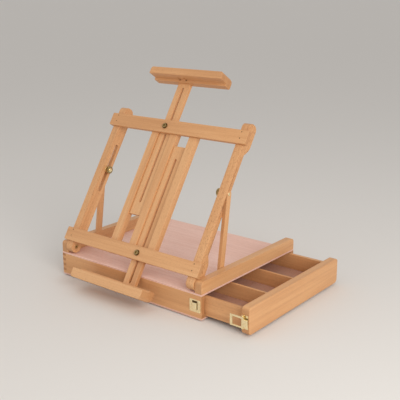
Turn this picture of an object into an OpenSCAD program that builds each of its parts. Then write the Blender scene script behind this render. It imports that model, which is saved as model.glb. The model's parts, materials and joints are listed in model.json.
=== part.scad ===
// Tabletop box easel: a shallow wooden box with a sideways drawer, a folding frame that stands
// on two slotted props, and a mast whose two sliders carry a canvas clamp and a canvas ledge.
// Millimetres. Origin on the table under the middle of the box, +Z up, the painter at -Y.

/* [Box] */
// Width of the box
box_w = 410; // [390:5:430]
// Depth of the box
box_d = 340; // [330:5:360]
// Height of the box without its feet
shell_h = 54; // [54:1:64]
// Thickness of the solid wood walls
wall_t = 10; // [8:0.5:11]
// Thickness of the plywood panels
ply_t = 3; // [2.5:0.5:4]
// Thickness of the two side rails
rail_t = 18; // [16:0.5:20]
// Height of the two side rails above the tray
rail_h = 26.5; // [24:0.5:26.5]
// Height of the feet
foot_h = 3; // [2:0.5:5]

/* [Drawer] */
// How far the drawer stands open
drawer_open = 97; // [1:1:180]
// Length of the drawer behind its face
drawer_len = 392; // [300:1:392]
// Thickness of the drawer face
face_t = 17.5; // [12:0.5:20]
// Height of the drawer face
face_h = 56.5; // [52:0.5:60]
// Thickness of the drawer walls
side_t = 8; // [6:0.5:10]
// Place of the front divider, from the middle of the box
divider_front_y = -61.5; // [-100:0.5:-20]
// Place of the back divider, from the middle of the box
divider_back_y = 37; // [20:0.5:100]

/* [Frame] */
// Lean of the frame back from upright
lean = 33; // [33:1:88]
// Width of a leg
leg_w = 18.5; // [18:0.5:20]
// Height of the lower crossbar above the pivot
lower_bar_z = 8.3; // [8:0.1:12]
// Height of the upper crossbar above the pivot
upper_bar_z = 295.7; // [290:0.1:300]
// Height of a crossbar's face
bar_h = 30; // [28:1:32]
// Length of a crossbar
bar_len = 390; // [388:1:396]

/* [Sliders] */
// Width of a slider
stem_w = 34; // [30:1:34]
// Length of a slider
stem_len = 327; // [320:1:330]
// How far the upper slider is drawn up
upper_lift = 103.2; // [12:0.1:270]
// How far the canvas ledge hangs below the pivot
ledge_drop = 47.6; // [0:0.1:70]
// Length of the clamp and of the ledge
holder_len = 206; // [180:2:240]
// Middle of the clamp and of the ledge, from the middle of the box
holder_x = -9; // [-12:1:12]

/* [Hidden] */

$fn = 48;
beech = "#c89a6b";
beech_light = "#dba878";
plywood = "#dcb4a0";
brass = "#c9a24a";
rubber = "#a98a68";
cut = 1;        // how far a cutter runs past the face it opens
run = 0.05;     // radial clearance of a running fit
gap = 0.3;      // clearance between a screw head or washer and what moves past it
both = [-1, 1]; // the left and the right side, or the lower and the upper of a pair

// Box
half_w = box_w / 2;
half_d = box_d / 2;
wall_z = foot_h + ply_t;
panel_z = foot_h + shell_h - ply_t;
tray_z = foot_h + shell_h;
foot_r = 11;
foot_inset = 15;
fingers = 8;
finger_h = (panel_z - wall_z) / fingers;
rail_in = half_w - rail_t;
rail_round = 8;
rail_setback = 0.5;
runner_w = 9;
runner_h = 3.5;

// The frame's own axes: pivot at the origin, +Z up the legs, -Y towards the canvas
pivot_y = -half_d + 11;
pivot_z = tray_z + 16;
leg_out = rail_in - 0.5;
leg_in = leg_out - leg_w;
leg_mid = (leg_in + leg_out) / 2;
leg_front = -14.5;
leg_back = 14;
leg_top = 347;
leg_round = 12;
bar_front = -21;
bar_back = -11;
mast_front = -14.5;
mast_back = 0.5;
mast_rail_w = 19;
stem_front = -10.5;
stem_back = -1.5;
stem_gap = 0.5;
stem_x = mast_rail_w / 2 + stem_gap + stem_w / 2;
outer_rail_x = stem_x + stem_w / 2 + stem_gap + mast_rail_w / 2;
pivot_r = 3;

// Props, and how far up the leg their bolts stand: the triangle of pivot, foot and bolt
prop_back = 80;
prop_len = 163;
prop_half = 7;
prop_y = pivot_y + prop_back;
bolt_up = prop_back * sin(lean) + sqrt(pow(prop_len, 2) - pow(prop_back * cos(lean), 2));
prop_lean = asin((bolt_up * sin(lean) - prop_back) / prop_len);
prop_in = leg_out - 8.5;
prop_out = leg_out - 0.5;
prop_foot_r = 2.5;
prop_bolt_r = 2;
rebate_x = leg_out - 9;
rebate_y = -prop_half - 0.5;
rebate_z = [prop_back, prop_back + prop_len + 17];
rebate_ramp = 42;
rebate_steps = 12;
leg_slot_y = [-2.4, 6.6];
leg_slot_z = [138, prop_back + prop_len + 12];

// Clamp bolts, and the slots that slide over them
bolt_r = 3;
slot_w = 6.8;
slot_free_end = 28.5;
slot_upper_end = 20;
slot_lower_end = 14;
head_r = 6.3;
head_t = 4.2;
nut_y = 0.5;
nut_t = 8;
nut_r = 5.2;
wing_r = 4.5;
wing_half_t = 1.1;
wing_at = [9.5, 5.5]; // a wing's middle, out from the bolt and back from the nut's front
washer_r = 8.5;
bolt_tip = nut_y + nut_t + 1.5;

// Clamp and ledge
holder_front = -42.5;
holder_step = -19;
holder_round = 12;
clamp_h = 23;
clamp_lip = 17;
clamp_z = upper_lift + stem_len + holder_round - clamp_h;
ledge_h = 23.5;
ledge_lip = 20;
ledge_z = -ledge_drop - ledge_lip;
lower_stem_z = ledge_z + holder_round;

// Drawer
face_in = half_w + drawer_open;
face_z = foot_h + 1.5;
drawer_x = face_in - drawer_len;
drawer_y = half_d - wall_t - 1.5;
drawer_z = wall_z + runner_h + 0.5;
drawer_top = panel_z - 3;
drawer_floor = drawer_z + 3;
divider_t = 5;
divider_top = drawer_top - 3;
groove = 4;

// Latch
latch_z = foot_h + 28;
latch_x = face_in + 4;
latch_y = -half_d - 3.2;
latch_plate_h = 28;
catch_x = half_w - 30;
catch_w = 28;
catch_h = 27;
plate_t = 1;
pin_r = 0.8;
pin_len = 8;
pin_head_r = 1.6;
pin_head_t = 0.6;

// The pair of limits half a width to each side of a middle
function around(middle, half) = [middle - half, middle + half];

// A block between three pairs of limits
module slab(x, y, z)
  translate([x[0], y[0], z[0]]) cube([x[1] - x[0], y[1] - y[0], z[1] - z[0]]);

// A cylinder along X, Y or Z between a pair of limits
module rod_x(x, y, z, r) translate([x[0], y, z]) rotate([0, 90, 0]) cylinder(r = r, h = x[1] - x[0]);
module rod_y(x, y, z, r) translate([x, y[0], z]) rotate([-90, 0, 0]) cylinder(r = r, h = y[1] - y[0]);
module rod_z(x, y, z, r) translate([x, y, z[0]]) cylinder(r = r, h = z[1] - z[0]);

// The corners of a rectangle, anticlockwise from the lowest, with the two ways inwards
function corners(x, y) =
  [[x[0], y[0], 1, 1], [x[1], y[0], -1, 1], [x[1], y[1], -1, -1], [x[0], y[1], 1, -1]];

// What rounding one corner takes away
module corner_waste(corner, r)
  translate([corner[0], corner[1]]) scale([corner[2], corner[3]]) difference() {
    translate([-cut, -cut]) square(r + cut);
    translate([r, r]) circle(r);
  }

// A rectangle with its own radius at each corner, anticlockwise from the lowest
module rounded(x, y, radii) difference() {
  translate([x[0], y[0]]) square([x[1] - x[0], y[1] - y[0]]);
  for (i = [0:3]) if (radii[i] > 0) corner_waste(corners(x, y)[i], radii[i]);
}

// Extrudes a drawing of Y and Z along X
module along_x(x) translate([x[0], 0, 0]) rotate([90, 0, 90]) linear_extrude(x[1] - x[0]) children();

// Extrudes a drawing of X and Z along Y
module along_y(y) translate([0, y[1], 0]) rotate([90, 0, 0]) linear_extrude(y[1] - y[0]) children();

// A slot with round ends, running from low to high
module slot(across, low, high) {
  r = (across[1] - across[0]) / 2;
  mid = (across[0] + across[1]) / 2;
  translate([across[0], low + r]) square([2 * r, high - low - 2 * r]);
  for (z = [low + r, high - r]) translate([mid, z]) circle(r);
}

// Moves a piece from the frame's own axes, or from a prop's, to its place
module on_frame() translate([0, pivot_y, pivot_z]) rotate([-lean, 0, 0]) children();
module on_prop() translate([0, prop_y, pivot_z]) rotate([-prop_lean, 0, 0]) children();

// Keeps a right-hand piece, or mirrors it to the left
module on_side(side) if (side < 0) mirror([1, 0, 0]) children(); else children();

// Box ------------------------------------------------------------------------------------------

module feet() color(rubber) for (x = both * (half_w - foot_inset), y = both * (half_d - foot_inset))
  rod_z(x, y, [0, foot_h], foot_r);

// Every other finger of a corner joint, counted from the bottom
module corner_fingers(first, y) for (i = [first:2:fingers - 1])
  slab([-half_w, -half_w + wall_t], y, [wall_z + i * finger_h, wall_z + (i + 1) * finger_h]);

module long_wall(side) color(beech) {
  y = side < 0 ? [-half_d, -half_d + wall_t] : [half_d - wall_t, half_d];
  difference() {
    union() {
      slab([-half_w + wall_t, half_w], y, [wall_z, panel_z]);
      corner_fingers(0, y);
    }
    if (side < 0) catch_pin_holes();
  }
}

module left_wall() color(beech) union() {
  inner = half_d - wall_t;
  slab([-half_w, -half_w + wall_t], inner * both, [wall_z, panel_z]);
  corner_fingers(1, [-half_d, -inner]);
  corner_fingers(1, [inner, half_d]);
}

module bottom_panel() color(plywood) slab(half_w * both, half_d * both, [foot_h, wall_z]);

rail_screw_y = [-120, 0, 120];
rail_screw_r = 2;
rail_screw_head_r = 3.6;
rail_screw_head_t = 1.5;
rail_screw_x = half_w - wall_t - rail_screw_head_r - gap;
rail_screw_tip = tray_z + 16;

module top_panel() color(plywood) difference() {
  slab(half_w * both, half_d * both, [panel_z, tray_z]);
  for (side = both, y = rail_screw_y)
    rod_z(side * rail_screw_x, y, [panel_z - cut, tray_z + cut], rail_screw_r);
}

module rail_screws() color(brass) for (side = both, y = rail_screw_y) union() {
  rod_z(side * rail_screw_x, y, [panel_z - rail_screw_head_t, panel_z], rail_screw_head_r);
  rod_z(side * rail_screw_x, y, [panel_z - cut, rail_screw_tip], rail_screw_r);
}

module runner(side) color(beech) {
  inner = half_d - wall_t;
  slab([-half_w + wall_t, half_w], side < 0 ? [-inner, runner_w - inner] : [inner - runner_w, inner],
       [wall_z, wall_z + runner_h]);
}

// Depth of the leg's and the prop's pivot screws in a rail, and the heads they turn under
pivot_screw_end = rail_in + 13;
pivot_head_r = 5;
pivot_head_x = [leg_in + 1, leg_in + 4];
prop_foot_head_r = 4;
prop_foot_head_x = [prop_in + gap, prop_in + 2.3];

module side_rail(side) color(beech_light) on_side(side) difference() {
  along_x([rail_in, half_w])
    rounded([-half_d + rail_setback, half_d], [tray_z, tray_z + rail_h], [0, 0, rail_round, rail_round]);
  rod_x([rail_in - cut, pivot_screw_end], pivot_y, pivot_z, pivot_r);
  rod_x([rail_in - cut, pivot_screw_end], prop_y, pivot_z, prop_foot_r);
  for (y = rail_screw_y) rod_z(rail_screw_x, y, [tray_z - cut, rail_screw_tip], rail_screw_r);
}

// Screws on which the legs turn: a head sunk in the leg, a shank into the rail
module leg_pivot_screws() color(brass) for (side = both) on_side(side) union() {
  rod_x(pivot_head_x, pivot_y, pivot_z, pivot_head_r);
  rod_x([pivot_head_x[1] - cut, pivot_screw_end], pivot_y, pivot_z, pivot_r);
}

module prop_pivot_screws() color(brass) for (side = both) on_side(side) union() {
  rod_x(prop_foot_head_x, prop_y, pivot_z, prop_foot_head_r);
  rod_x([prop_foot_head_x[1] - cut, pivot_screw_end], prop_y, pivot_z, prop_foot_r);
}

// A headed pin driven along +Y, through a plate whose outer face is at y, into the wood
module plate_pin(x, y, z) union() {
  rod_y(x, [y - pin_head_t, y], z, pin_head_r);
  rod_y(x, [y - pin_head_t / 2, y + pin_len], z, pin_r);
}

catch_pin_inset = 3;
catch_pin_x = [catch_x + catch_pin_inset, catch_x + catch_w - catch_pin_inset];
catch_pin_z = around(latch_z, catch_h / 2 - catch_pin_inset);

module catch_pin_holes() for (x = catch_pin_x, z = catch_pin_z)
  rod_y(x, [-half_d - plate_t - cut, -half_d - plate_t + pin_len], z, pin_r);

// The hook: an upright leaf on the catch plate, and a lip that bends to the left over the loop
hook_half = 7.5;
hook_x = [catch_x + 5.5, catch_x + 19];
hook_leaf_t = 2;
hook_lip_y = [-half_d - 4, -half_d - 2.8];

// The catch plate: its hook opens to the left, so the loop drops in behind it
module catch_plate() color(brass) difference() {
  union() {
    slab([catch_x, catch_x + catch_w], [-half_d - plate_t, -half_d], around(latch_z, catch_h / 2));
    slab([hook_x[1] - hook_leaf_t, hook_x[1]], [hook_lip_y[0], -half_d], around(latch_z, hook_half));
    slab(hook_x, hook_lip_y, around(latch_z, hook_half));
  }
  catch_pin_holes();
}

module catch_pins() color(brass) for (x = catch_pin_x, z = catch_pin_z)
  plate_pin(x, -half_d - plate_t, z);

// Drawer ---------------------------------------------------------------------------------------

module drawer_side(side) color(beech) {
  y = side < 0 ? [-drawer_y, side_t - drawer_y] : [drawer_y - side_t, drawer_y];
  grooved = side < 0 ? [y[1] - groove, y[1] + cut] : [y[0] - cut, y[0] + groove];
  difference() {
    slab([drawer_x, face_in], y, [drawer_z, drawer_top]);
    slab([drawer_x + side_t - groove, face_in + cut], grooved, [drawer_floor, drawer_floor + ply_t]);
  }
}

module drawer_end() color(beech) difference() {
  slab([drawer_x, drawer_x + side_t], (drawer_y - side_t) * both, [drawer_z, drawer_top]);
  slab([drawer_x + side_t - groove, drawer_x + side_t + cut], drawer_y * both,
       [drawer_floor, drawer_floor + ply_t]);
}

module drawer_bottom() color(plywood)
  slab([drawer_x + side_t - groove, face_in], (drawer_y - side_t + groove) * both,
       [drawer_floor, drawer_floor + ply_t]);

module divider(y) color(beech)
  slab([drawer_x + side_t, face_in], around(y, divider_t / 2), [drawer_floor + ply_t, divider_top]);

module drawer_face() color(beech_light) difference() {
  along_x([face_in, face_in + face_t])
    rounded(half_d * both, [face_z, face_z + face_h], rail_round * [1, 1, 1, 1]);
  for (z = latch_plate_pin_z)
    rod_y(latch_pin_x, [-half_d - cut, -half_d - plate_t + pin_len], z, pin_r);
}

// Latch ----------------------------------------------------------------------------------------

latch_plate_x = [face_in + 0.5, face_in + 15.5];
latch_pin_x = face_in + 12;
latch_plate_pin_inset = 2.6;
latch_plate_pin_z = around(latch_z, latch_plate_h / 2 - latch_plate_pin_inset);
latch_hinge_r = 1;
latch_hinge_half = latch_plate_h / 2;
knuckle_r = 1.8;
knuckle_half = 0.9;
knuckle_z = around(latch_z, latch_plate_h / 2 - knuckle_half);
knuckle_foot = 0.5; // how deep a knuckle stops in front of the wood
lever_half = 7.6;
lever_len = 11.5;
lever_y = [-3.4, -1]; // the lever's faces, from its hinge
lever_lip_y = -2.4;
lever_lip_r = 1.9;
loop_at = [3.4, -2.2]; // the loop's pivot in the lever, from the lever's hinge
loop_pin_r = 0.8;
loop_len = 30.5;
loop_in = 8;
loop_out = 11.5;
loop_bar = 6;
loop_half_t = 0.7;
loop_eye = 1.4;
loop_pin_end = 0.5; // how far the loop's pivot reaches into its arms

module latch_plate() color(brass) difference() {
  union() {
    slab(latch_plate_x, [-half_d - plate_t, -half_d], around(latch_z, latch_plate_h / 2));
    for (z = knuckle_z) {
      slab(around(latch_x, knuckle_r), [latch_y, -half_d - knuckle_foot], around(z, knuckle_half));
      rod_z(latch_x, latch_y, around(z, knuckle_half), knuckle_r);
    }
  }
  rod_z(latch_x, latch_y, around(latch_z, latch_hinge_half + cut), latch_hinge_r);
  for (z = latch_plate_pin_z) rod_y(latch_pin_x, [-half_d - plate_t - cut, -half_d + cut], z, pin_r);
}

module latch_plate_pins() color(brass) for (z = latch_plate_pin_z)
  plate_pin(latch_pin_x, -half_d - plate_t, z);

module latch_hinge_pin() color(brass)
  rod_z(latch_x, latch_y, around(latch_z, latch_hinge_half), latch_hinge_r);

// The lever lies closed along +X from its hinge
module latch_lever() color(brass) translate([latch_x, latch_y, latch_z]) difference() {
  union() {
    rod_z(0, 0, lever_half * both, knuckle_r);
    slab([0, lever_len], lever_y, lever_half * both);
    rod_z(lever_len, lever_lip_y, lever_half * both, lever_lip_r);
  }
  rod_z(0, 0, (lever_half + cut) * both, latch_hinge_r + run);
  rod_z(loop_at[0], loop_at[1], (lever_half + cut) * both, loop_pin_r + run);
}

// A flat loop astride the lever, reaching left towards the catch
module latch_loop() color(brass)
  translate([latch_x + loop_at[0], latch_y + loop_at[1], latch_z]) union() {
    for (z = [[loop_in, loop_out], [-loop_out, -loop_in]])
      slab([-loop_len, loop_eye], loop_half_t * both, z);
    slab([-loop_len, -loop_len + loop_bar], loop_half_t * both, loop_out * both);
    rod_z(0, 0, (loop_in + loop_pin_end) * both, loop_pin_r);
  }

// Frame ----------------------------------------------------------------------------------------

bar_places = [lower_bar_z, upper_bar_z];
brad_rows = [11.5, 25.5];
brad_r = 1.1;
brad_end = leg_front + 14;
bar_round = 3;

// A crossbar's seat, cut into the legs and the mast rails
module bar_seats() for (z = bar_places)
  slab(half_w * both, [leg_front - cut, bar_back], [z, z + bar_h]);

module leg_profile() difference() {
  union() {
    rounded([leg_front, leg_back], [0, leg_top], [0, 0, leg_round, leg_round]);
    translate([(leg_front + leg_back) / 2, 0]) circle((leg_back - leg_front) / 2);
  }
  slot(leg_slot_y, leg_slot_z[0], leg_slot_z[1]);
}

// A point on the smooth ramp from the rebate's floor, at z, to the leg's back edge
function ramp_point(z, length, t) =
  [rebate_y + (leg_back - rebate_y) * (1 - cos(180 * t)) / 2, z + length * t];

// What is cut from a leg's outer back corner, so that the folded prop lies inside the leg
module prop_rebate() along_x([rebate_x, leg_out + cut])
  polygon([
    for (i = [rebate_steps:-1:0]) ramp_point(rebate_z[0], -rebate_ramp, i / rebate_steps),
    for (i = [0:rebate_steps]) ramp_point(rebate_z[1], rebate_ramp, i / rebate_steps),
    [leg_back + cut, rebate_z[1] + rebate_ramp],
    [leg_back + cut, rebate_z[0] - rebate_ramp]
  ]);

module leg(side) color(beech) on_frame() on_side(side) difference() {
  along_x([leg_in, leg_out]) leg_profile();
  prop_rebate();
  bar_seats();
  rod_x([leg_in - cut, leg_out + cut], 0, 0, pivot_r + run);
  rod_x([leg_in - cut, pivot_head_x[1] + gap], 0, 0, pivot_head_r + gap);
  for (z = bar_places, row = brad_rows) rod_y(leg_mid, [bar_back - cut, brad_end], z + row, brad_r);
}

module leg_brads() color(brass) on_frame() for (side = both, z = bar_places, row = brad_rows)
  rod_y(side * leg_mid, [bar_front, brad_end], z + row, brad_r);

mast_screw_x = [-outer_rail_x, 0, outer_rail_x];
mast_screw_r = 1.8;
mast_screw_head = 3.4;
mast_screw_head_t = 1.6;
mast_screw_tip = bar_front + 3;
mast_end = 0.5; // how far a mast rail stops short of a crossbar's outer edge

// A crossbar, with holes for its clamp bolt, its brads and the mast's screws
module crossbar(z, bolt_x) color(beech) on_frame() difference() {
  along_y([bar_front, bar_back]) rounded(bar_len / 2 * both, [z, z + bar_h], bar_round * [1, 1, 1, 1]);
  rod_y(bolt_x, [bar_front - cut, bar_back + cut], z + bar_h / 2, bolt_r);
  for (side = both, row = brad_rows)
    rod_y(side * leg_mid, [bar_front - cut, bar_back + cut], z + row, brad_r);
  for (x = mast_screw_x) rod_y(x, [mast_screw_tip, bar_back + cut], z + bar_h / 2, mast_screw_r);
}

module mast_rail(x) color(beech) on_frame() difference() {
  slab(around(x, mast_rail_w / 2), [mast_front, mast_back],
       [lower_bar_z + mast_end, upper_bar_z + bar_h - mast_end]);
  bar_seats();
  for (z = bar_places) {
    rod_y(x, [mast_front - cut, mast_back + cut], z + bar_h / 2, mast_screw_r);
    rod_y(x, [mast_back - mast_screw_head_t, mast_back + cut], z + bar_h / 2, mast_screw_head);
  }
}

module mast_screws() color(brass) on_frame() for (x = mast_screw_x, z = bar_places) union() {
  rod_y(x, [mast_back - mast_screw_head_t, mast_back], z + bar_h / 2, mast_screw_head);
  rod_y(x, [mast_screw_tip, mast_back - cut], z + bar_h / 2, mast_screw_r);
}

// A clamp bolt: a domed head on the crossbar, a shank through the slider's slot
module clamp_bolt(x, z) color(brass) on_frame() translate([x, 0, z]) union() {
  ball_r = (head_r * head_r + head_t * head_t) / (2 * head_t);
  intersection() {
    translate([0, bar_front - head_t + ball_r, 0]) sphere(ball_r);
    rod_y(0, [bar_front - head_t - cut, bar_front], 0, head_r);
  }
  rod_y(0, [bar_front - cut, bolt_tip], 0, bolt_r);
}

module clamp_washer(x, z) color(brass) on_frame() difference() {
  rod_y(x, [stem_back + gap, nut_y - gap], z, washer_r);
  rod_y(x, [stem_back - cut, nut_y + cut], z, bolt_r);
}

// A wing nut: a round boss with a wing on each side
module wing_nut(x, z) color(brass) on_frame() translate([x, 0, z]) difference() {
  union() {
    rod_y(0, [nut_y, nut_y + nut_t], 0, nut_r);
    for (side = both) rod_z(side * wing_at[0], nut_y + wing_at[1], wing_half_t * both, wing_r);
  }
  rod_y(0, [nut_y - cut, nut_y + nut_t + cut], 0, bolt_r + run);
}

// Sliders --------------------------------------------------------------------------------------

holder_screw_x = 9;
holder_screw_r = 1.8;
holder_screw_head = 3.4;
holder_screw_head_t = 1.6;
holder_screw_end = -30;
holder_screw_inset = 6;
holder_edge = 1.5;  // rounding of a clamp's or a ledge's small edges
holder_lip_end = 3; // rounding of its ends, at the edge that grips the canvas
holder_far_end = 7; // rounding of its ends, at the other edge

// The two screws that hold a clamp or a ledge to its slider, or the holes for them
module holder_screws(x, z, extra) for (side = both) union() {
  rod_y(x + side * holder_screw_x, [stem_back - holder_screw_head_t, stem_back + extra], z,
        holder_screw_head);
  rod_y(x + side * holder_screw_x, [holder_screw_end, stem_back - cut], z, holder_screw_r);
}

// A slider with its slot; low and high are what the slot leaves at each end
module stem(x, z, low, high, screw_z) color(beech) on_frame() difference() {
  slab(around(x, stem_w / 2), [stem_front, stem_back], [z, z + stem_len]);
  along_y([stem_front - cut, stem_back + cut])
    slot(around(x, slot_w / 2), z + low, z + stem_len - high);
  holder_screws(x, screw_z, cut);
}

clamp_screw_z = clamp_z + holder_screw_inset;
ledge_screw_z = ledge_z + ledge_h - holder_screw_inset;

module upper_stem() stem(-stem_x, upper_lift, slot_free_end, slot_upper_end, clamp_screw_z);
module lower_stem() stem(stem_x, lower_stem_z, slot_lower_end, slot_free_end, ledge_screw_z);

// The bar of a clamp or a ledge between z[0] and z[1], with its rounded profile and ends
module holder_bar(z, profile_radii, end_radii) intersection() {
  along_x(around(holder_x, holder_len / 2)) rounded([holder_front, stem_back], z, profile_radii);
  along_y([holder_front - cut, stem_back + cut])
    rounded(around(holder_x, holder_len / 2), z, end_radii);
}

module canvas_clamp() color(beech) on_frame() difference() {
  holder_bar([clamp_z, clamp_z + clamp_h], [0, holder_edge, holder_round, holder_edge],
             [holder_lip_end, holder_lip_end, holder_far_end, holder_far_end]);
  slab(half_w * both, [holder_front - cut, holder_step],
       [clamp_z - cut, clamp_z + clamp_h - clamp_lip]);
  slab(around(-stem_x, stem_w / 2), [stem_front, stem_back + cut],
       [clamp_z - cut, upper_lift + stem_len]);
  holder_screws(-stem_x, clamp_screw_z, cut);
}

module canvas_ledge() color(beech) on_frame() difference() {
  holder_bar([ledge_z, ledge_z + ledge_h], [holder_edge, holder_round, holder_edge, 0],
             [holder_far_end, holder_far_end, holder_lip_end, holder_lip_end]);
  slab(half_w * both, [holder_front - cut, holder_step],
       [ledge_z + ledge_lip, ledge_z + ledge_h + cut]);
  slab(around(stem_x, stem_w / 2), [stem_front, stem_back + cut],
       [lower_stem_z, ledge_z + ledge_h + cut]);
  holder_screws(stem_x, ledge_screw_z, cut);
}

module clamp_screws() color(brass) on_frame() holder_screws(-stem_x, clamp_screw_z, 0);
module ledge_screws() color(brass) on_frame() holder_screws(stem_x, ledge_screw_z, 0);

// Props ----------------------------------------------------------------------------------------

knob_r = 8.5;
knob_t = 9;
knob_hub_r = 5.5;
knob_hub_t = 2;
knob_washer_r = 7.5;
knob_washer_t = 1.2;
knob_washer_x = [leg_in - gap - knob_washer_t, leg_in - gap];
knob_x = knob_washer_x[0] - gap - knob_t;
prop_bolt_head = 3.6;
prop_bolt_head_t = 1.6;
prop_bolt_tip = knob_x - 1.5;

module prop(side) color(beech) on_prop() on_side(side) difference() {
  along_x([prop_in, prop_out]) slot(prop_half * both, -prop_half, prop_len + prop_half);
  rod_x([prop_in - cut, prop_out + cut], 0, 0, prop_foot_r + run);
  rod_x([prop_in - cut, prop_foot_head_x[1] + gap], 0, 0, prop_foot_head_r + gap);
  rod_x([prop_in - cut, prop_out + cut], 0, prop_len, prop_bolt_r);
  rod_x([prop_out - prop_bolt_head_t, prop_out + cut], 0, prop_len, prop_bolt_head);
}

module prop_bolt(side) color(brass) on_prop() on_side(side) union() {
  rod_x([prop_out - prop_bolt_head_t, prop_out], 0, prop_len, prop_bolt_head);
  rod_x([prop_bolt_tip, prop_out - cut], 0, prop_len, prop_bolt_r);
}

module knob_washer(side) color(brass) on_prop() on_side(side) difference() {
  rod_x(knob_washer_x, 0, prop_len, knob_washer_r);
  rod_x(knob_washer_x + cut * both, 0, prop_len, prop_bolt_r);
}

// A clamping knob: a thick rim with a smaller hub towards the leg
module knob(side) color(brass) on_prop() on_side(side) difference() {
  union() {
    rod_x([knob_x, knob_x + knob_t], 0, prop_len, knob_hub_r);
    rod_x([knob_x, knob_x + knob_t - knob_hub_t], 0, prop_len, knob_r);
  }
  rod_x([knob_x - cut, knob_x + knob_t + cut], 0, prop_len, prop_bolt_r + run);
}

feet();
long_wall(-1);  // front_wall
long_wall(1);  // back_wall
left_wall();
bottom_panel();
top_panel();
runner(-1);  // runner_front
runner(1);  // runner_back
side_rail(-1);  // rail_left
side_rail(1);  // rail_right
rail_screws();
catch_plate();
catch_pins();
leg_pivot_screws();
prop_pivot_screws();
drawer_side(-1);  // drawer_front_side
drawer_side(1);  // drawer_back_side
drawer_end();
drawer_bottom();
divider(divider_front_y);  // divider_front
divider(divider_back_y);  // divider_back
drawer_face();
latch_plate();
latch_plate_pins();
latch_hinge_pin();
latch_lever();
latch_loop();
leg(-1);  // leg_left
leg(1);  // leg_right
crossbar(lower_bar_z, stem_x);  // crossbar_lower
crossbar(upper_bar_z, -stem_x);  // crossbar_upper
mast_rail(-outer_rail_x);  // mast_rail_left
mast_rail(0);  // mast_rail_centre
mast_rail(outer_rail_x);  // mast_rail_right
leg_brads();
mast_screws();
clamp_bolt(-stem_x, upper_bar_z + bar_h / 2);  // clamp_bolt_upper
clamp_bolt(stem_x, lower_bar_z + bar_h / 2);  // clamp_bolt_lower
clamp_washer(-stem_x, upper_bar_z + bar_h / 2);  // washer_upper
clamp_washer(stem_x, lower_bar_z + bar_h / 2);  // washer_lower
wing_nut(-stem_x, upper_bar_z + bar_h / 2);  // wing_nut_upper
wing_nut(stem_x, lower_bar_z + bar_h / 2);  // wing_nut_lower
upper_stem();
canvas_clamp();
clamp_screws();
lower_stem();
canvas_ledge();
ledge_screws();
prop(-1);  // prop_left
prop(1);  // prop_right
prop_bolt(-1);  // prop_bolt_left
prop_bolt(1);  // prop_bolt_right
knob_washer(-1);  // knob_washer_left
knob_washer(1);  // knob_washer_right
knob(-1);  // knob_left
knob(1);  // knob_right
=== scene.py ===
"""Looks of a wooden tabletop box easel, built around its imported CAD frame.

Every visible piece is made here from the frame's own measures: the boards get rounded arrises and
beech or plywood whose grain runs along each one, and the hardware is turned, knurled or bent brass.
Metres. +Z is up, the painter is at -Y and the drawer opens towards +X.
"""

import json
import math
import random

import bmesh
import bpy
from mathutils import Matrix, Vector


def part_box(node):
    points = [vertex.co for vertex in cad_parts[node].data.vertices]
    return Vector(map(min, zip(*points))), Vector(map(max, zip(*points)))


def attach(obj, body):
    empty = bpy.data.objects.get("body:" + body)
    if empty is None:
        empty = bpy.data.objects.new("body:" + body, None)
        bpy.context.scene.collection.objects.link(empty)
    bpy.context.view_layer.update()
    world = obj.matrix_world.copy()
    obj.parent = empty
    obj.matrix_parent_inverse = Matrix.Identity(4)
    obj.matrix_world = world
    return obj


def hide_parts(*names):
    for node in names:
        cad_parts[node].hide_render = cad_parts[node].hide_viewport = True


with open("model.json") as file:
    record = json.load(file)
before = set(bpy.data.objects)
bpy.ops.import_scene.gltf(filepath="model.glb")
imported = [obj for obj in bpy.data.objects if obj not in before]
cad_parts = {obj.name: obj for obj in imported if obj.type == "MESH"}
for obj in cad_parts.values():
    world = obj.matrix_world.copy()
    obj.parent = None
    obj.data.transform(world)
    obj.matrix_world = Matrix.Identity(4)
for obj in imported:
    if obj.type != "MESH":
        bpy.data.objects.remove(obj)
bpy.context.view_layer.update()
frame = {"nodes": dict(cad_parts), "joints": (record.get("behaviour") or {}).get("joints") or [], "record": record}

MM = 0.001
X, Y, Z = Vector((1, 0, 0)), Vector((0, 1, 0)), Vector((0, 0, 1))
BODY_OF = {node: body for body, nodes in frame["record"]["behaviour"]["bodies"].items() for node in nodes}
JOINT = {joint["name"]: joint for joint in frame["joints"]}


# Places that come from the joints -----------------------------------------------------------------


def tilted(point, lean):
    """The axes of a piece that leans back by an angle from a pivot: its own +Z runs up its length."""
    return Matrix.Translation(point) @ Matrix.Rotation(-lean, 4, "X")


UP_THE_FRAME = Vector(JOINT["upper_slide"]["axis"])
FRAME_LEAN = math.atan2(UP_THE_FRAME.y, UP_THE_FRAME.z)
ON_FRAME = tilted(JOINT["frame_tilt"]["pos_m"], FRAME_LEAN)
PROP_FOOT = Vector(JOINT["prop_right_fold"]["pos_m"])
PROP_BOLT = Vector(JOINT["knob_right_turn"]["pos_m"])
PROP_LEAN = math.atan2(PROP_BOLT.y - PROP_FOOT.y, PROP_BOLT.z - PROP_FOOT.z)
ON_PROP = tilted(PROP_FOOT, PROP_LEAN)


# Materials ----------------------------------------------------------------------------------------


def add(tree, kind, values=None, **settings):
    """A shader node, with its settings, and with each socket given a number, a colour or a link."""
    node = tree.nodes.new(kind)
    for name, value in settings.items():
        setattr(node, name, value)
    for socket, value in (values or {}).items():
        if isinstance(value, bpy.types.NodeSocket):
            tree.links.new(value, node.inputs[socket])
        else:
            node.inputs[socket].default_value = value
    return node


def calc(tree, operation, a, b=0.0, c=0.0):
    """The result of a Math node."""
    return add(tree, "ShaderNodeMath", {0: a, 1: b, 2: c}, operation=operation).outputs[0]


def vector_calc(tree, operation, a, b):
    """The result of a Vector Math node; a dot product comes as a number."""
    node = add(tree, "ShaderNodeVectorMath", {0: a, 1: b}, operation=operation)
    return node.outputs["Value" if operation == "DOT_PRODUCT" else "Vector"]


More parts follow.
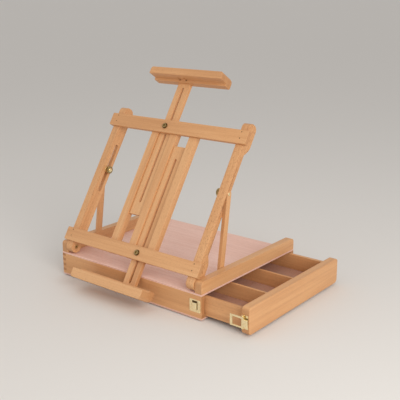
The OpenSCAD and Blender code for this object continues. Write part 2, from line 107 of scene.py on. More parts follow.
MOST_NOISE = (0.3, 0.7)  # nearly all of a noise's values lie between these


def noise(tree, vector, scale, detail=2.0, roughness=0.5, distortion=0.0):
    """Noise from about 0.25 to 0.75, stretched by a scale for each axis."""
    stretched = vector_calc(tree, "MULTIPLY", vector, scale)
    values = {"Vector": stretched, "Scale": 1.0, "Detail": detail, "Roughness": roughness,
              "Distortion": distortion}
    return add(tree, "ShaderNodeTexNoise", values).outputs[0]


def spread(tree, value, low, high, to_low=0.0, to_high=1.0):
    """A value from low to high, brought to the range from to_low to to_high and held there."""
    values = {"Value": value, "From Min": low, "From Max": high, "To Min": to_low, "To Max": to_high}
    return add(tree, "ShaderNodeMapRange", values).outputs[0]


def blend_colours(tree, factor, a, b):
    """Colour a turning to b with the factor."""
    return add(tree, "ShaderNodeMix", {0: factor, 6: a, 7: b}, data_type="RGBA").outputs[2]


def colour(red, green, blue):
    """An sRGB colour, each part from 0 to 255, as the linear colour that a shader takes."""
    parts = [c / 255 for c in (red, green, blue)]
    return [c / 12.92 if c <= 0.04045 else ((c + 0.055) / 1.055) ** 2.4 for c in parts] + [1.0]


def new_material(name):
    """A material with an empty Principled shader, as (material, tree, shader)."""
    material = bpy.data.materials.new(name)
    material.use_nodes = True
    return material, material.node_tree, material.node_tree.nodes["Principled BSDF"]


def add_bump(tree, shader, height, depth):
    """Raises the surface by a height from 0 to 1 times a depth in metres."""
    bump = add(tree, "ShaderNodeBump", {"Height": height, "Distance": depth})
    tree.links.new(bump.outputs[0], shader.inputs["Normal"])


BEECH_DARK = colour(190, 135, 88)
BEECH_MID = colour(212, 158, 108)
BEECH_LIGHT = colour(226, 178, 128)
BEECH_FLECK = colour(150, 96, 56)
PLY_DARK = colour(228, 182, 164)
PLY_MID = colour(241, 200, 184)
PLY_LIGHT = colour(250, 216, 203)
PLY_CORE = colour(156, 104, 72)


def grain_vector(tree, axis, across, offset):
    """Object coordinates turned so that X runs along the grain, and shifted to a fresh part of the tree."""
    through = axis.cross(across)
    place = add(tree, "ShaderNodeTexCoord").outputs["Object"]
    parts = [vector_calc(tree, "DOT_PRODUCT", place, way) for way in (axis, across, through)]
    combined = add(tree, "ShaderNodeCombineXYZ", dict(enumerate(parts))).outputs[0]
    return vector_calc(tree, "ADD", combined, offset)


def end_grain(tree, axis):
    """1 where the surface is cut across the grain, 0 where it runs along it."""
    normal = add(tree, "ShaderNodeTexCoord").outputs["Normal"]
    facing = calc(tree, "ABSOLUTE", vector_calc(tree, "DOT_PRODUCT", normal, axis))
    return spread(tree, facing, 0.6, 0.95)


def beech(name, axis, across, offset, tone, fleck, end_dark):
    """Oiled beech: broad figure, fine growth lines, short dark flecks, and darker end grain."""
    material, tree, shader = new_material(name)
    vector = grain_vector(tree, axis, across, offset)
    end = end_grain(tree, axis)
    figure = noise(tree, vector, (1.6, 16, 16), 3.0, 0.55, 0.4)
    lines = noise(tree, vector, (5, 210, 210), 3.0, 0.6, 0.3)
    fibres = noise(tree, vector, (60, 1500, 1500), 2.0, 0.6)
    flecks = spread(tree, noise(tree, vector, (210, 1050, 1050), 1.0, 0.5), 0.60, 0.67)
    pores = spread(tree, noise(tree, vector, (900, 2600, 2600), 1.0, 0.5), 0.55, 0.68)

    level = calc(tree, "ADD", calc(tree, "MULTIPLY", spread(tree, figure, *MOST_NOISE), 0.5),
                 calc(tree, "MULTIPLY", spread(tree, lines, *MOST_NOISE), 0.36))
    level = calc(tree, "ADD", level, calc(tree, "MULTIPLY", fibres, 0.14))
    level = calc(tree, "ADD", level, tone)
    shade = blend_colours(tree, spread(tree, level, 0.0, 0.5), BEECH_DARK, BEECH_MID)
    shade = blend_colours(tree, spread(tree, level, 0.45, 1.0), shade, BEECH_LIGHT)
    along = calc(tree, "SUBTRACT", 1.0, end)
    shade = blend_colours(tree, calc(tree, "MULTIPLY", flecks, calc(tree, "MULTIPLY", along, fleck)),
                          shade, BEECH_FLECK)
    dark = calc(tree, "MULTIPLY", end, calc(tree, "ADD", calc(tree, "MULTIPLY", pores, 0.35), end_dark))
    shade = blend_colours(tree, dark, shade, BEECH_FLECK)
    tree.links.new(shade, shader.inputs["Base Color"])
    tree.links.new(spread(tree, lines, *MOST_NOISE, 0.40, 0.56), shader.inputs["Roughness"])
    shader.inputs["Specular IOR Level"].default_value = 0.4
    shader.inputs["Coat Weight"].default_value = 0.08
    shader.inputs["Coat Roughness"].default_value = 0.35
    add_bump(tree, shader, calc(tree, "ADD", fibres, calc(tree, "MULTIPLY", lines, 0.8)), 0.12 * MM)
    return material


def plywood(name, axis, across, offset, bottom_z, brown):
    """Pale sanded plywood: soft figure on its faces, and three plies with a dark core on its edges."""
    material, tree, shader = new_material(name)
    vector = grain_vector(tree, axis, across, offset)
    figure = noise(tree, vector, (1.1, 9, 9), 3.0, 0.5, 0.8)
    lines = noise(tree, vector, (7, 170, 170), 3.0, 0.65, 0.2)
    pores = spread(tree, noise(tree, vector, (150, 1100, 1100), 1.0, 0.5), 0.60, 0.70)
    level = calc(tree, "ADD", calc(tree, "MULTIPLY", spread(tree, figure, *MOST_NOISE), 0.6),
                 calc(tree, "MULTIPLY", spread(tree, lines, *MOST_NOISE), 0.4))
    shade = blend_colours(tree, spread(tree, level, 0.0, 0.55), PLY_DARK, PLY_MID)
    shade = blend_colours(tree, spread(tree, level, 0.5, 1.0), shade, PLY_LIGHT)
    shade = blend_colours(tree, calc(tree, "MULTIPLY_ADD", pores, 0.22, brown), shade, PLY_CORE)

    coordinates = add(tree, "ShaderNodeTexCoord")
    facing = calc(tree, "ABSOLUTE", vector_calc(tree, "DOT_PRODUCT", coordinates.outputs["Normal"], Z))
    edge = spread(tree, facing, 0.7, 0.3)
    height = vector_calc(tree, "DOT_PRODUCT", coordinates.outputs["Object"], Z)
    from_core = calc(tree, "ABSOLUTE", calc(tree, "SUBTRACT", height, bottom_z + PLY_THICK / 2))
    core = spread(tree, from_core, PLY_THICK * 0.2, PLY_THICK * 0.13)
    shade = blend_colours(tree, calc(tree, "MULTIPLY", edge, calc(tree, "MULTIPLY", core, 0.45)),
                          shade, PLY_CORE)
    tree.links.new(shade, shader.inputs["Base Color"])
    tree.links.new(spread(tree, lines, *MOST_NOISE, 0.5, 0.64), shader.inputs["Roughness"])
    shader.inputs["Specular IOR Level"].default_value = 0.35
    add_bump(tree, shader, lines, 0.07 * MM)
    return material


def metal(name, base, worn, rough_low, rough_high, scratch_axis=Z):
    """A polished or plated metal with cloudy gloss, scratches along an axis and a little tarnish."""
    material, tree, shader = new_material(name)
    place = add(tree, "ShaderNodeTexCoord").outputs["Object"]
    clouds = noise(tree, place, (260, 260, 260), 3.0, 0.6)
    across, along = 4200, 300
    scale = [across - (across - along) * abs(part) for part in scratch_axis]
    scratches = noise(tree, place, scale, 2.0, 0.5)
    tarnish = spread(tree, clouds, 0.45, 0.75)
    shade = blend_colours(tree, calc(tree, "MULTIPLY", tarnish, 0.55), base, worn)
    tree.links.new(shade, shader.inputs["Base Color"])
    gloss = calc(tree, "ADD", calc(tree, "MULTIPLY", clouds, 0.6), calc(tree, "MULTIPLY", scratches, 0.4))
    tree.links.new(spread(tree, gloss, *MOST_NOISE, rough_low, rough_high), shader.inputs["Roughness"])
    shader.inputs["Metallic"].default_value = 1.0
    add_bump(tree, shader, scratches, 0.02 * MM)
    return material


def rubber(name):
    """Matt brown rubber with a fine pebbled skin."""
    material, tree, shader = new_material(name)
    place = add(tree, "ShaderNodeTexCoord").outputs["Object"]
    pebbles = noise(tree, place, (1500, 1500, 1500), 2.0, 0.5)
    clouds = noise(tree, place, (120, 120, 120), 2.0, 0.5)
    patches = spread(tree, clouds, *MOST_NOISE)
    shade = blend_colours(tree, patches, colour(142, 106, 74), colour(170, 130, 94))
    tree.links.new(shade, shader.inputs["Base Color"])
    tree.links.new(spread(tree, pebbles, *MOST_NOISE, 0.62, 0.8), shader.inputs["Roughness"])
    add_bump(tree, shader, pebbles, 0.1 * MM)
    return material


PLY_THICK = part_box("top_panel")[1].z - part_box("top_panel")[0].z
BRASS = metal("brass_polished", colour(255, 238, 192), colour(214, 184, 124), 0.2, 0.36)
# Old brass for the clamp bolts; on the knobs' outer rims it is painted shade.
OLD_BRASS_AND_PAINTED_SHADE = metal("brass_old_and_painted_shade", colour(176, 152, 104), colour(112, 90, 54), 0.26, 0.46)
# Dark bronze for the brads; on the clamp bolts' rims and in the catch's window it is painted shade.
BRONZE_AND_PAINTED_SHADE = metal("bronze_dark_and_painted_shade", colour(104, 82, 50), colour(62, 46, 28), 0.4, 0.6)
ZINC = metal("zinc_yellow", colour(206, 186, 132), colour(160, 140, 96), 0.28, 0.46, X)
RUBBER = rubber("rubber_brown")


# Pieces -------------------------------------------------------------------------------------------


def place_piece(mesh, name, nodes, materials):
    """Puts a finished mesh in the scene as the piece that stands for these CAD nodes."""
    piece = bpy.data.objects.new(name, mesh)
    bpy.context.scene.collection.objects.link(piece)
    for material in materials:
        mesh.materials.append(material)
    mesh.polygons.foreach_set("use_smooth", [True] * len(mesh.polygons))
    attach(piece, BODY_OF[nodes[0]])
    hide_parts(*nodes)
    return piece


ARRIS_ANGLE = 38  # degrees: edges sharper than this are rounded
FLAT_FACE_WEIGHT = 80
DISSOLVE_ANGLE = 0.4  # degrees between faces that lie in one plane
MERGE = 0.001 * MM
AT_AN_END = 0.01 * MM  # corners this near the end of a solid belong to its end face
ON_THE_AXIS = 1e-9  # a smaller radius is a point and not a ring


def round_arrises(piece, width, segments=2):
    """Rounds a piece's sharp edges and keeps its flat faces shaded flat."""
    bevel = piece.modifiers.new("arrises", "BEVEL")
    bevel.width = width
    bevel.segments = segments
    bevel.limit_method = "ANGLE"
    bevel.angle_limit = math.radians(ARRIS_ANGLE)
    bevel.use_clamp_overlap = False
    weighted = piece.modifiers.new("flat_faces", "WEIGHTED_NORMAL")
    weighted.weight = FLAT_FACE_WEIGHT
    return piece


def cad_mesh(node, name):
    """A CAD node's mesh as a new one, with doubled corners merged and flat faces made whole."""
    mesh = bpy.data.meshes.new(name)
    solid = bmesh.new()
    solid.from_mesh(frame["nodes"][node].data)
    bmesh.ops.remove_doubles(solid, verts=solid.verts, dist=MERGE)
    in_plane = math.radians(DISSOLVE_ANGLE)
    bmesh.ops.dissolve_limit(solid, angle_limit=in_plane, verts=solid.verts, edges=solid.edges)
    for face in solid.faces:
        face.material_index = 0
    solid.to_mesh(mesh)
    solid.free()
    return mesh


def from_cad(node, ending, material, arris, segments=2):
    """A piece with a CAD node's own shape, its arrises rounded."""
    name = node + ending
    return round_arrises(place_piece(cad_mesh(node, name), name, [node], [material]), arris, segments)


# Wood: nodes by the way their grain runs
BOARDS = {
    "X": ["front_wall", "back_wall", "runner_front", "runner_back", "drawer_front_side",
          "drawer_back_side", "divider_front", "divider_back"],
    "Y": ["left_wall", "rail_left", "rail_right", "drawer_end", "drawer_face"],
    "bars": ["crossbar_lower", "crossbar_upper", "canvas_clamp", "canvas_ledge"],
    "up_frame": ["leg_left", "leg_right", "mast_rail_left", "mast_rail_centre", "mast_rail_right",
                 "upper_stem", "lower_stem"],
    "up_prop": ["prop_left", "prop_right"],
}
GRAIN = {
    "X": (X, Y),
    "Y": (Y, X),
    "bars": (X, ON_FRAME.to_3x3() @ Y),
    "up_frame": (ON_FRAME.to_3x3() @ Z, X),
    "up_prop": (ON_PROP.to_3x3() @ Z, X),
}
ARRIS = {"runner_front": 0.3, "runner_back": 0.3, "left_wall": 0.25, "front_wall": 0.25,
         "back_wall": 0.25, "drawer_face": 1.2, "rail_left": 1.0, "rail_right": 1.0,
         "canvas_clamp": 0.8, "canvas_ledge": 0.8}
USUAL_ARRIS = 0.6

FLECK = {"leg_right": 0.8, "leg_left": 0.5, "mast_rail_right": 0.35, "drawer_face": 0.15}
USUAL_FLECK = 0.25
END_DARK = {"left_wall": 0.62, "front_wall": 0.5, "back_wall": 0.5}
USUAL_END_DARK = 0.34

draw = random.Random(7)


def fresh_offset():
    """A far place in the tree, so that no two boards share their grain."""
    return Vector((draw.uniform(0, 9), draw.uniform(0, 9), draw.uniform(0, 9)))


for way, nodes in BOARDS.items():
    for node in nodes:
        wood = beech("beech_" + node, *GRAIN[way], fresh_offset(), draw.uniform(-0.10, 0.10),
                     FLECK.get(node, USUAL_FLECK), END_DARK.get(node, USUAL_END_DARK))
        from_cad(node, "_wood", wood, ARRIS.get(node, USUAL_ARRIS) * MM)

for node, axis, across, brown in (("bottom_panel", X, Y, 0.1), ("top_panel", X, Y, 0.0),
                                  ("drawer_bottom", Y, X, 0.7)):
    ply = plywood("plywood_" + node, axis, across, fresh_offset(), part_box(node)[0].z, brown)
    from_cad(node, "_ply", ply, arris=0.15 * MM)

from_cad("feet", "_pads", RUBBER, arris=0.7 * MM, segments=3)


# Turned pieces and screws -------------------------------------------------------------------------


def facing_matrix(centre, axis):
    """A place whose own +Z points along an axis."""
    turn = Z.rotation_difference(Vector(axis)).to_matrix().to_4x4()
    return Matrix.Translation(centre) @ turn


def ribbed_radius(radius, angle, ribs, depth):
    """The radius of a knurled rim at an angle."""
    return radius - depth * (0.5 - 0.5 * math.cos(ribs * angle))


def hexagon_radius(across_flats_half, angle):
    """How far a hexagon's side is from its middle at an angle."""
    sixth = math.pi / 3
    return across_flats_half / math.cos((angle % sixth) - sixth / 2)


def turn_profile(solid, profile, place, steps=48, shaped=None):
    """Adds a turned solid: (radius, height) points from one end of its axis to the other.
    A point with True as a third part has its radius changed by shaped(radius, angle)."""
    rings = []
    for radius, height, *special in profile:
        if radius < ON_THE_AXIS:
            rings.append([solid.verts.new(place @ Vector((0, 0, height)))])
            continue
        ring = []
        for step in range(steps):
            angle = 2 * math.pi * step / steps
            r = shaped(radius, angle) if any(special) else radius
            ring.append(solid.verts.new(place @ Vector((r * math.cos(angle), r * math.sin(angle), height))))
        rings.append(ring)
    for low, high in zip(rings, rings[1:]):
        for step in range(steps):
            after = (step + 1) % steps
            if len(low) == 1:
                solid.faces.new((low[0], high[after], high[step]))
            elif len(high) == 1:
                solid.faces.new((low[step], low[after], high[0]))
            else:
                solid.faces.new((low[step], low[after], high[after], high[step]))


def rounded_rim(radius, low, high, edge, ribbed=False, steps=4):
    """Profile points of a disc's outside between two heights, with rounded edges."""
    quarter = [math.pi / 2 * i / steps for i in range(steps + 1)]
    lower = [(radius - edge + edge * math.sin(a), low + edge - edge * math.cos(a)) for a in quarter]
    upper = [(radius - edge + edge * math.cos(a), high - edge + edge * math.sin(a)) for a in quarter]
    return [(r, h, ribbed) for r, h in lower + upper]


def finish_solid(solid, name, nodes, material, fold=30):
    """Turns a built solid into a piece, with edges sharper than the fold angle shaded sharp."""
    bmesh.ops.recalc_face_normals(solid, faces=solid.faces)
    mesh = bpy.data.meshes.new(name)
    solid.to_mesh(mesh)
    solid.free()
    piece = place_piece(mesh, name, nodes, [material])
    mesh.set_sharp_from_angle(angle=math.radians(fold))
    return piece


def islands(node):
    """The corners of each separate solid in a CAD node."""
    solid = bmesh.new()
    solid.from_mesh(frame["nodes"][node].data)
    bmesh.ops.remove_doubles(solid, verts=solid.verts, dist=MERGE)
    left, found = set(solid.verts), []
    while left:
        stack, island = [left.pop()], []
        while stack:
            vert = stack.pop()
            island.append(vert.co.copy())
            for edge in vert.link_edges:
                other = edge.other_vert(vert)
                if other in left:
                    left.remove(other)
                    stack.append(other)
        found.append(island)
    solid.free()
    return sorted(found, key=lambda island: tuple(round(c, 5) for c in island_middle(island)))


def island_middle(island):
    """The middle of a solid's corners."""
    return sum(island, Vector()) / len(island)


def cap_of(island, axis):
    """(centre, radius) of the round end of a solid that faces along an axis."""
    top = max(co.dot(axis) for co in island)
    rim = [co for co in island if co.dot(axis) > top - AT_AN_END]
    centre = island_middle(rim)
    return centre, max((co - centre).length for co in rim)


def screw_master():
    """A countersunk screw head of radius 1, facing +Z, with a cross recess."""
    solid = bmesh.new()
    profile = [(0, -0.75), (0.42, -0.75), (0.93, -0.16), (1.0, -0.08), (0.985, -0.01), (0.9, 0.0), (0, 0.0)]
    turn_profile(solid, profile, Matrix.Identity(4), steps=32)
    bmesh.ops.recalc_face_normals(solid, faces=solid.faces)
    head = bpy.data.objects.new("screw_master", bpy.data.meshes.new("screw_master"))
    solid.to_mesh(head.data)
    solid.free()

    arm, half_width, depth = 0.55, 0.11, 0.42
    cutter_solid = bmesh.new()
    for turn in (0, math.pi / 2):
        cube = bmesh.ops.create_cube(cutter_solid, size=1.0)
        shape = Matrix.Rotation(turn, 4, "Z") @ Matrix.Diagonal((2 * arm, 2 * half_width, 2 * depth, 1))
        bmesh.ops.transform(cutter_solid, matrix=shape, verts=cube["verts"])
    cutter = bpy.data.objects.new("screw_cutter", bpy.data.meshes.new("screw_cutter"))
    cutter_solid.to_mesh(cutter.data)
    cutter_solid.free()
    for piece in (head, cutter):
        bpy.context.scene.collection.objects.link(piece)
    recess = head.modifiers.new("recess", "BOOLEAN")
    recess.object = cutter
    recess.operation = "DIFFERENCE"
    recess.solver = "EXACT"
    recess.use_self = True
    graph = bpy.context.evaluated_depsgraph_get()
    mesh = bpy.data.meshes.new_from_object(head.evaluated_get(graph))
    for piece in (head, cutter):
        bpy.data.objects.remove(piece)
    return mesh


SCREW_HEAD = screw_master()


def screws(node, axis_of):
    """Cross-headed screws in the places of a CAD node's own; axis_of(middle) is the way a head faces."""
    solid = bmesh.new()
    for island in islands(node):
        axis = Vector(axis_of(island_middle(island)))
        centre, radius = cap_of(island, axis)
        turn = Matrix.Rotation(draw.uniform(0, math.pi), 4, "Z")
        before = set(solid.verts)
        solid.from_mesh(SCREW_HEAD)
        added = [v for v in solid.verts if v not in before]
        size = Matrix.Diagonal((radius, radius, radius, 1))
        bmesh.ops.transform(solid, matrix=facing_matrix(centre, axis) @ turn @ size, verts=added)
    finish_solid(solid, node + "_heads", [node], ZINC)


def paint_rim_shade(piece, place, radius, material):
    """Gives the faces further than a radius from a turned piece's axis another, darker material: painted shade on
    a head's outer rim.
    """
    piece.data.materials.append(material)
    inverse = place.inverted()
    for face in piece.data.polygons:
        if (inverse @ face.center).to_2d().length > radius:
            face.material_index = 1


BACK_OF_FRAME = ON_FRAME.to_3x3() @ Y
for node in ("mast_screws", "clamp_screws", "ledge_screws"):
    screws(node, lambda middle: BACK_OF_FRAME)
screws("rail_screws", lambda middle: -Z)
for node in ("leg_pivot_screws", "prop_pivot_screws"):
    screws(node, lambda middle: X if middle.x < 0 else -X)


def pin_heads(node, axis, material, length, dome):
    """Small domed pins or brads in the places of a CAD node's own; axis is the way their heads face."""
    solid = bmesh.new()
    for island in islands(node):
        centre, radius = cap_of(island, axis)
        shank_r, crown_r = radius * 0.5, radius * 0.8
        rim_h, crown_h = -dome * 0.6, -dome * 0.2
        profile = [(0, -length), (shank_r, -length), (shank_r, -dome), (radius, -dome)]
        profile += [(radius, rim_h), (crown_r, crown_h), (0, 0)]
        turn_profile(solid, profile, facing_matrix(centre, axis), steps=20)
    finish_solid(solid, node + "_heads", [node], material)


pin_heads("leg_brads", -BACK_OF_FRAME, BRONZE_AND_PAINTED_SHADE, length=4 * MM, dome=0.3 * MM)
pin_heads("catch_pins", -Y, BRASS, length=5 * MM, dome=0.6 * MM)
pin_heads("latch_plate_pins", -Y, BRASS, length=5 * MM, dome=0.6 * MM)


def dome_points(rim_r, top_r, low, high, steps=8):
    """Profile points of a flattened dome, from its rim up to the edge of its socket."""
    points = []
    for i in range(steps + 1):
        a = math.pi / 2 * i / steps
        points.append((top_r + (rim_r - top_r) * math.cos(a), low + (high - low) * math.sin(a)))
    return points


def front_of_bars():
    """Where the crossbars' front faces lie across the frame, on its own Y axis."""
    inverse = ON_FRAME.inverted()
    return min((inverse @ v.co).y for v in frame["nodes"]["crossbar_upper"].data.vertices)


def clamp_bolt(node):
    """A domed head with a flat flange and a hexagon socket, on a shank with a ridge for each thread."""
    pitch, threads, thread_start = 1.0 * MM, 12, 0.4 * MM
    tip_share, root_share, plain_neck = 0.8, 0.86, 2 * MM
    socket_r, socket_depth = 2.5 * MM, 2.6 * MM
    socket_land, socket_bevel = 0.6 * MM, 0.3 * MM
    flange_share, painted_shade_share = 0.3, 0.74

    island = islands(node)[0]
    inverse = ON_FRAME.inverted()
    local = [inverse @ co for co in island]
    low, high = min(c.y for c in local), max(c.y for c in local)
    middle = Vector(((min(c.x for c in local) + max(c.x for c in local)) / 2, 0,
                     (min(c.z for c in local) + max(c.z for c in local)) / 2))
    head_r = (max(c.x for c in local) - min(c.x for c in local)) / 2
    tip_r = max((Vector((c.x, 0, c.z)) - middle).length for c in local if c.y > high - AT_AN_END)
    seat = front_of_bars()
    tip, dome_h = seat - high, seat - low
    flange_h = dome_h * flange_share
    place = ON_FRAME @ Matrix.Translation(Vector((middle.x, seat, middle.z))) @ facing_matrix(Vector(), -Y)

    profile = [(0, tip), (tip_r * tip_share, tip)]
    for i in range(threads):
        root = tip + thread_start + i * pitch
        profile += [(tip_r * root_share, root), (tip_r, root + pitch / 2)]
    profile += [(tip_r, -plain_neck), (tip_r, 0), (head_r, 0), (head_r, flange_h)]
    profile += dome_points(head_r, socket_r + socket_land, flange_h, dome_h)
    profile += [(socket_r, dome_h - socket_bevel, True), (socket_r, dome_h - socket_depth, True)]
    profile.append((0, dome_h - socket_depth))
    solid = bmesh.new()
    turn_profile(solid, profile, place, shaped=hexagon_radius)
    piece = finish_solid(solid, node + "_turned", [node], OLD_BRASS_AND_PAINTED_SHADE, fold=50)
    # The head's outer rim gets the dark bronze as painted shade.
    paint_rim_shade(piece, place, head_r * painted_shade_share, BRONZE_AND_PAINTED_SHADE)


clamp_bolt("clamp_bolt_upper")
clamp_bolt("clamp_bolt_lower")


def wing_nut_ear(solid, place, side, reach):
    """Adds a round ear in layers through its thickness; the outer ones are drawn in towards its middle."""
    ear_r, ear_y, half = 4.4 * MM, 5.5 * MM, 1.05 * MM
    low_root, high_root = (4.2 * MM, 0.9 * MM), (3.9 * MM, 6.3 * MM)
    arc_from, arc_sweep, arc_steps = -80, 235, 18
    middle = Vector((reach - ear_r - 1.5 * MM, ear_y))
    far_in, little_in = 0.55 * MM, 0.16 * MM
    shoulder, flat = half * 0.72, half * 0.3
    layers = [(far_in, -half), (little_in, -shoulder), (0, -flat),
              (0, flat), (little_in, shoulder), (far_in, half)]

    outline = [low_root]
    for i in range(arc_steps + 1):
        angle = math.radians(arc_from + arc_sweep * i / arc_steps)
        outline.append((reach - ear_r + ear_r * math.cos(angle), ear_y + ear_r * math.sin(angle)))
    outline.append(high_root)
    rings = []
    for inset, z in layers:
        ring = []
        for x, y in outline:
            towards = middle - Vector((x, y))
            moved = Vector((x, y)) + towards.normalized() * min(inset, towards.length)
            ring.append(solid.verts.new(place @ Vector((side * moved.x, moved.y, z))))
        rings.append(ring)
    for low, high in zip(rings, rings[1:]):
        for i in range(len(outline)):
            j = (i + 1) % len(outline)
            solid.faces.new((low[i], low[j], high[j], high[i]))
    solid.faces.new(rings[0])
    solid.faces.new(rings[-1])


def wing_nut(node, joint):
    """A cast wing nut: a tapered boss on a round base, and two ears."""
    bore, base_r, top_r = 3.05 * MM, 5.2 * MM, 4.3 * MM
    base_h, base_edge, taper_h, boss_h = 2.4 * MM, 0.5 * MM, 5.0 * MM, 8 * MM
    top_edge = [(-0.2 * MM, -0.4 * MM), (-0.6 * MM, 0)]

    inverse = ON_FRAME.inverted()
    local = [inverse @ co for island in islands(node) for co in island]
    lo = Vector([min(c[i] for c in local) for i in range(3)])
    hi = Vector([max(c[i] for c in local) for i in range(3)])
    axis_point = inverse @ Vector(JOINT[joint]["pos_m"])
    place = ON_FRAME @ Matrix.Translation(Vector((axis_point.x, lo.y, axis_point.z)))

    # The last two points of the base's rim are left out: the taper starts from its upper edge
    profile = [(bore, 0)] + rounded_rim(base_r, 0, base_h, base_edge)[:-2]
    profile += [(top_r, taper_h)] + [(top_r + r, boss_h + h) for r, h in top_edge]
    profile += [(bore, boss_h), (bore, 0)]
    solid = bmesh.new()
    turn_profile(solid, profile, place @ facing_matrix(Vector(), Y), steps=40)
    bmesh.ops.remove_doubles(solid, verts=solid.verts, dist=MERGE)
    for side in (-1, 1):
        wing_nut_ear(solid, place, side, (hi.x - lo.x) / 2)
    finish_solid(solid, node + "_cast", [node], BRASS, fold=40)


wing_nut("wing_nut_upper", "wing_nut_upper_turn")
wing_nut("wing_nut_lower", "wing_nut_lower_turn")


def knob(side):
    """A knurled brass knob: dished on the side away from its leg, with its hub towards the leg."""
    bore, hub_r, hub_root_r, hub_end_r = 2.05 * MM, 5.5 * MM, 5.9 * MM, 5.2 * MM
    hub_t, hub_root, hub_edge, rim_edge = 2 * MM, 0.2 * MM, 0.3 * MM, 0.9 * MM
    dish = [(bore, 0.9 * MM), (3.4 * MM, 0.9 * MM), (4.2 * MM, 0.5 * MM), (5.0 * MM, 0.08 * MM)]
    ribs, rib_depth, painted_shade_share = 36, 0.7 * MM, 0.66

    node = f"knob_{side}"
    lo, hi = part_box(node)
    sign = 1 if side == "right" else -1
    joint = JOINT[f"knob_{side}_turn"]["pos_m"]
    start, end = (lo.x, hi.x) if sign > 0 else (-hi.x, -lo.x)
    length = end - start
    radius = (hi.z - lo.z) / 2
    place = facing_matrix(Vector((sign * start, joint[1], joint[2])), X * sign)

    rim_end = length - hub_t
    profile = dish + rounded_rim(radius, 0, rim_end, rim_edge, True)
    profile += [(hub_root_r, rim_end), (hub_r, rim_end + hub_root), (hub_r, length - hub_edge)]
    profile += [(hub_end_r, length), (bore, length), dish[0]]
    solid = bmesh.new()
    turn_profile(solid, profile, place, 5 * ribs, lambda r, angle: ribbed_radius(r, angle, ribs, rib_depth))
    bmesh.ops.remove_doubles(solid, verts=solid.verts, dist=MERGE)
    piece = finish_solid(solid, node + "_knurled", [node], BRASS, fold=45)
    # The knob's outer rim gets the old brass as painted shade.
    paint_rim_shade(piece, place, radius * painted_shade_share, OLD_BRASS_AND_PAINTED_SHADE)


knob("left")
knob("right")


def rounded_sheet(name, middle, half_x, half_z, corner, front, material, arris, steps=6):
    """A flat sheet on the box's front, with round corners; front is how far it stands out."""
    outline = []
    for quarter, (x, z) in enumerate(((1, 1), (-1, 1), (-1, -1), (1, -1))):
        centre = Vector((x * (half_x - corner), 0, z * (half_z - corner)))
        for i in range(steps + 1):
            a = math.pi / 2 * (quarter + i / steps)
            outline.append(middle + centre + corner * Vector((math.cos(a), 0, math.sin(a))))
    solid = bmesh.new()
    near = [solid.verts.new(point - Y * front) for point in outline]
    far = [solid.verts.new(point) for point in outline]
    solid.faces.new(near)
    solid.faces.new(far)
    for i in range(len(outline)):
        j = (i + 1) % len(outline)
        solid.faces.new((near[i], far[i], far[j], near[j]))
    piece = finish_solid(solid, name, ["catch_plate"], material)
    round_arrises(piece, arris)


def catch_tongue(middle, left, right, half_w, out, sheet):
    """The catch's tongue: bent out of the plate, then run to the left, its round tip turned in a little."""
    bend, bend_steps, run_steps, rows = 2.4 * MM, 8, 12, 10
    tip_r, tip_x = 4.5 * MM, left + sheet
    turn_in, turn_from, turn_share = 0.9 * MM, 0.55, 0.45
    arris = 0.25 * MM

    path = [(right - sheet / 2, -sheet / 2)]
    for i in range(bend_steps + 1):
        a = math.pi / 2 * i / bend_steps
        path.append((right - sheet / 2 - bend * (1 - math.cos(a)), -(out - bend + bend * math.sin(a))))
    bend_end = path[-1][0]
    for i in range(1, run_steps + 1):
        t = i / run_steps
        x = bend_end + (tip_x - bend_end) * t
        path.append((x, -out + turn_in * max(0, t - turn_from) ** 2 / turn_share ** 2))

    solid, grid = bmesh.new(), []
    for x, y in path:
        from_tip = x - tip_x
        half = half_w
        if from_tip < tip_r:
            half = half_w - tip_r + math.sqrt(max(tip_r ** 2 - (tip_r - from_tip) ** 2, 0))
        grid.append([solid.verts.new((x, middle.y + y, middle.z + half * (2 * k / rows - 1)))
                     for k in range(rows + 1)])
    for a, b in zip(grid, grid[1:]):
        for k in range(rows):
            solid.faces.new((a[k], a[k + 1], b[k + 1], b[k]))
    mesh = bpy.data.meshes.new("catch_tongue")
    solid.to_mesh(mesh)
    solid.free()
    piece = place_piece(mesh, "catch_tongue", ["catch_plate"], [BRASS])
    thick = piece.modifiers.new("sheet", "SOLIDIFY")
    thick.thickness = sheet
    thick.offset = 0
    round_arrises(piece, arris)


def catch():
    """The catch: a sheet plate with its window, drawn as a dark sheet of painted shade just proud of it, and its
    tongue.
    """
    sheet, corner, arris = 1.0 * MM, 2.5 * MM, 0.2 * MM
    proud, window_corner, window_arris = 0.06 * MM, 1.2 * MM, 0.02 * MM
    # above and beside: how far the dark sheet of painted shade reaches past the tongue.
    above, beside = 3.4 * MM, 3.2 * MM
    tongue_from = 1.5 * MM

    low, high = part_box("catch_plate")
    front_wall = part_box("front_wall")[0].y
    middle = Vector(((low.x + high.x) / 2, front_wall, (low.z + high.z) / 2))
    rounded_sheet("catch_plate_sheet", middle, (high.x - low.x) / 2, (high.z - low.z) / 2,
                  corner, sheet, BRASS, arris)

    raised = [co for co in islands("catch_plate")[0] if co.y < front_wall - tongue_from]
    left, right = min(co.x for co in raised), max(co.x for co in raised)
    half_w = max(co.z for co in raised) - middle.z
    # The dark sheet is painted shade: the window's hollow and the shadow above and beside the tongue.
    window = Vector(((left + right + beside) / 2, front_wall, middle.z + above / 2))
    rounded_sheet("catch_window_painted_shade", window, (right - left) / 2, half_w + above / 2,
                  window_corner, sheet + proud, BRONZE_AND_PAINTED_SHADE, window_arris)
    catch_tongue(middle, left, right, half_w, front_wall - low.y - sheet / 2, sheet)


catch()

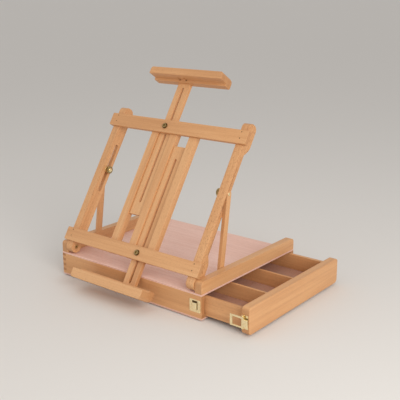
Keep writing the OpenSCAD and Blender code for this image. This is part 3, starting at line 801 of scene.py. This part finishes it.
for node, arris in (("latch_plate", 0.2), ("latch_lever", 0.12), ("latch_loop", 0.04),
                    ("latch_hinge_pin", 0.15), ("washer_upper", 0.2),
                    ("washer_lower", 0.2), ("knob_washer_left", 0.2), ("knob_washer_right", 0.2),
                    ("prop_bolt_left", 0.3), ("prop_bolt_right", 0.3)):
    from_cad(node, "_brass", BRASS, arris * MM)


# Stage, light and camera --------------------------------------------------------------------------


def area_light(name, azimuth, elevation, distance, size, power, tint=(1, 1, 1)):
    """A soft square light, aimed at the object from a direction."""
    light = bpy.data.lights.new(name, "AREA")
    light.size = size
    light.energy = power
    light.color = tint
    lamp = bpy.data.objects.new(name, light)
    lamp.location = LOOK_AT + direction(azimuth, elevation) * distance
    lamp.rotation_mode = "QUATERNION"
    lamp.rotation_quaternion = (LOOK_AT - lamp.location).to_track_quat("-Z", "Y")
    bpy.context.scene.collection.objects.link(lamp)


def direction(azimuth, elevation):
    """A unit vector towards an azimuth, counted from -Y towards +X, and an elevation, in degrees."""
    a, e = math.radians(azimuth), math.radians(elevation)
    return Vector((math.sin(a) * math.cos(e), -math.cos(a) * math.cos(e), math.sin(e)))


LOOK_AT = Vector((0.0395, 0.0319, 0.177))
CAMERA_AZIMUTH, CAMERA_ELEVATION, CAMERA_DISTANCE, CAMERA_ROLL = 38.94, 15.95, 1.626, -0.30
CAMERA_LENS, SENSOR = 64.67, 36.0

floor_mesh = bpy.data.meshes.new("floor")
FLOOR_HALF = 400.0
floor_mesh.from_pydata([(x, y, 0) for x, y in ((-1, -1), (1, -1), (1, 1), (-1, 1))], [], [(0, 1, 2, 3)])
floor_mesh.transform(Matrix.Diagonal((FLOOR_HALF, FLOOR_HALF, 1, 1)))
floor = bpy.data.objects.new("floor", floor_mesh)
bpy.context.scene.collection.objects.link(floor)
floor_material, _, floor_shader = new_material("floor_pale")
floor_shader.inputs["Base Color"].default_value = colour(226, 222, 217)
floor_shader.inputs["Roughness"].default_value = 0.85
floor_mesh.materials.append(floor_material)

world = bpy.data.worlds.new("studio")
world.use_nodes = True
world.node_tree.nodes["Background"].inputs["Color"].default_value = (1.0, 0.985, 0.97, 1)
world.node_tree.nodes["Background"].inputs["Strength"].default_value = 0.6
bpy.context.scene.world = world
bpy.context.scene.view_settings.view_transform = "Standard"

area_light("key", azimuth=62, elevation=22, distance=2.2, size=1.2, power=26, tint=(1, 0.985, 0.96))
area_light("top", azimuth=-10, elevation=80, distance=2.2, size=1.6, power=3)
area_light("fill", azimuth=-30, elevation=12, distance=2.4, size=1.6, power=5, tint=(1, 0.99, 0.98))

camera_data = bpy.data.cameras.new("camera")
camera_data.sensor_width = SENSOR
camera_data.lens = CAMERA_LENS
camera_data.clip_start, camera_data.clip_end = 0.05, 2 * FLOOR_HALF
camera = bpy.data.objects.new("camera", camera_data)
back = direction(CAMERA_AZIMUTH, CAMERA_ELEVATION)
camera.location = LOOK_AT + back * CAMERA_DISTANCE
camera.rotation_mode = "QUATERNION"
level_view = (-back).to_track_quat("-Z", "Y")
camera.rotation_quaternion = level_view @ Matrix.Rotation(math.radians(CAMERA_ROLL), 3, "Z").to_quaternion()
bpy.context.scene.collection.objects.link(camera)
bpy.context.scene.camera = camera
